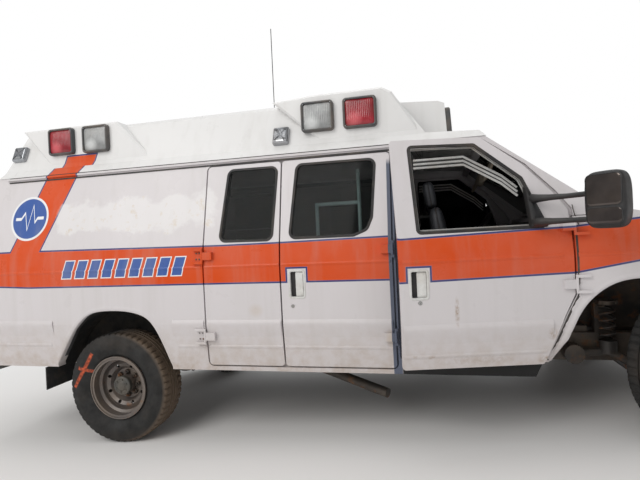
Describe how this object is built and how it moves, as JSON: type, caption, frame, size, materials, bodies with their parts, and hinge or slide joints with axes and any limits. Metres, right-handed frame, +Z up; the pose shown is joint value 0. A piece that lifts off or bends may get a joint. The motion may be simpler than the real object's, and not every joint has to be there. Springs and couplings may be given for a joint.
{
  "type": "van ambulance with a raised roof",
  "caption": "Worn full-size van ambulance with raised roof, side load doors, rear doors, bonnet, steered front wheels, one front door ajar and nose sagged",
  "frame": {"origin": "on the ground, at the middle of the whole part's footprint", "axes": "+X forward, +Y left, +Z up"},
  "size_m": [5.3873, 2.8038, 2.9879],
  "materials": {
    "aluminium": "worn tread plate",
    "body_paint": "white paint, worn and dusty",
    "chassis": "dark, dusty and rusty",
    "glass": "dark tinted glass",
    "laminate": "pale laminate",
    "lamp": "lamp lens in a dark bezel",
    "lamp_clear": "clear lens",
    "plastic": "dark grey plastic",
    "roof_paint": "white gelcoat",
    "rubber": "matte black",
    "seat": "dark vinyl",
    "teal": "pale teal tube",
    "trim": "grey plastic",
    "tyre": "worn black rubber",
    "wheel_steel": "rusty grey steel"
  },
  "bodies": {
    "body": {"antenna": "rubber", "bench_cushion": "seat", "body_side_left": "body_paint", "body_side_right": "body_paint", "cab_seats": "seat", "cab_shell": "body_paint", "cabinets": "laminate", "chassis_frame": "chassis", "dashboard": "plastic", "engine_and_shaft": "chassis", "engine_cover": "plastic", "exhaust": "chassis", "fixed_glass": "glass", "floor_pan": "chassis", "front_beams": "chassis", "front_bumper": "trim", "front_panel": "body_paint", "fuel_tank": "plastic", "grab_frame": "teal", "grille": "plastic", "headlamps": "lamp_clear", "mud_flaps": "rubber", "radiator": "chassis", "raised_roof": "roof_paint", "rear_axle": "chassis", "rear_bumper": "aluminium", "rear_frame": "body_paint", "roof_lamps": "lamp", "seat_bases": "plastic", "springs": "chassis", "steering_wheel": "plastic", "tail_lamps": "lamp", "wings": "body_paint"},
    "door_front_right": {"door_front_right": "body_paint", "mirror_right": "plastic"},
    "door_front_left": {"door_front_left": "body_paint", "glass_front_left": "glass", "mirror_left": "plastic"},
    "door_side_front": {"door_side_front": "body_paint", "glass_side_front": "glass"},
    "door_side_rear": {"door_side_rear": "body_paint", "glass_side_rear": "glass"},
    "door_rear_right": {"door_rear_right": "body_paint", "glass_rear_right": "glass"},
    "door_rear_left": {"door_rear_left": "body_paint", "glass_rear_left": "glass"},
    "hood": {"hood": "body_paint"},
    "knuckle_right": {"knuckle_right": "chassis"},
    "knuckle_left": {"knuckle_left": "chassis"},
    "wheel_front_right": {"wheel_front_right": "wheel_steel", "tyre_front_right": "tyre"},
    "wheel_front_left": {"wheel_front_left": "wheel_steel", "tyre_front_left": "tyre"},
    "wheel_rear_right": {"wheel_rear_right": "wheel_steel", "tyre_rear_right": "tyre"},
    "wheel_rear_left": {"wheel_rear_left": "wheel_steel", "tyre_rear_left": "tyre"}
  },
  "joints": [
    {"name": "front_door_right", "type": "hinge", "parent": "body", "child": "door_front_right", "pos_m": [1.46419, -1.015, 0.87869], "axis": [0.0609, 0, 0.9981], "range_deg": [-13.5, 48]},
    {"name": "front_door_left", "type": "hinge", "parent": "body", "child": "door_front_left", "pos_m": [1.46419, 1.015, 0.87869], "axis": [-0.0609, 0, -0.9981], "range_deg": [0, 61.5]},
    {"name": "side_door_front_leaf", "type": "hinge", "parent": "body", "child": "door_side_front", "pos_m": [0.46539, -1.015, 0.87956], "axis": [0.0609, 0, 0.9981], "range_deg": [0, 90]},
    {"name": "side_door_rear_leaf", "type": "hinge", "parent": "body", "child": "door_side_rear", "pos_m": [-0.78029, -1.015, 0.95561], "axis": [-0.0609, 0, -0.9981], "range_deg": [0, 150]},
    {"name": "rear_door_right", "type": "hinge", "parent": "body", "child": "door_rear_right", "pos_m": [-2.57096, -0.795, 1.06495], "axis": [0.0609, 0, 0.9981], "range_deg": [0, 150]},
    {"name": "rear_door_left", "type": "hinge", "parent": "body", "child": "door_rear_left", "pos_m": [-2.57096, 0.795, 1.06495], "axis": [-0.0609, 0, -0.9981], "range_deg": [0, 150]},
    {"name": "bonnet", "type": "hinge", "parent": "body", "child": "hood", "pos_m": [1.63186, 0, 1.31127], "axis": [0, -1, 0], "range_deg": [0, 50]},
    {"name": "steer_right", "type": "hinge", "parent": "body", "child": "knuckle_right", "pos_m": [1.96917, -0.7415, 0.387], "axis": [0.0609, 0, 0.9981], "range_deg": [-67, 1]},
    {"name": "steer_left", "type": "hinge", "parent": "body", "child": "knuckle_left", "pos_m": [1.96917, 0.7415, 0.387], "axis": [0.0609, 0, 0.9981], "range_deg": [-67, 1]},
    {"name": "spin_front_right", "type": "hinge", "parent": "knuckle_right", "child": "wheel_front_right", "pos_m": [2.04527, -0.85891, 0.38235], "axis": [-0.5436, 0.8387, 0.0332], "continuous": true},
    {"name": "spin_rear_right", "type": "hinge", "parent": "body", "child": "wheel_rear_right", "pos_m": [-1.54236, -0.8535, 0.387], "axis": [0, 1, 0], "continuous": true},
    {"name": "spin_front_left", "type": "hinge", "parent": "knuckle_left", "child": "wheel_front_left", "pos_m": [1.89306, 0.85891, 0.39165], "axis": [-0.5436, 0.8387, 0.0332], "continuous": true},
    {"name": "spin_rear_left", "type": "hinge", "parent": "body", "child": "wheel_rear_left", "pos_m": [-1.54236, 0.8535, 0.387], "axis": [0, 1, 0], "continuous": true}
  ],
  "couplings": [
    {"joint": "steer_left", "follows": "steer_right", "ratio": 1}
  ]
}
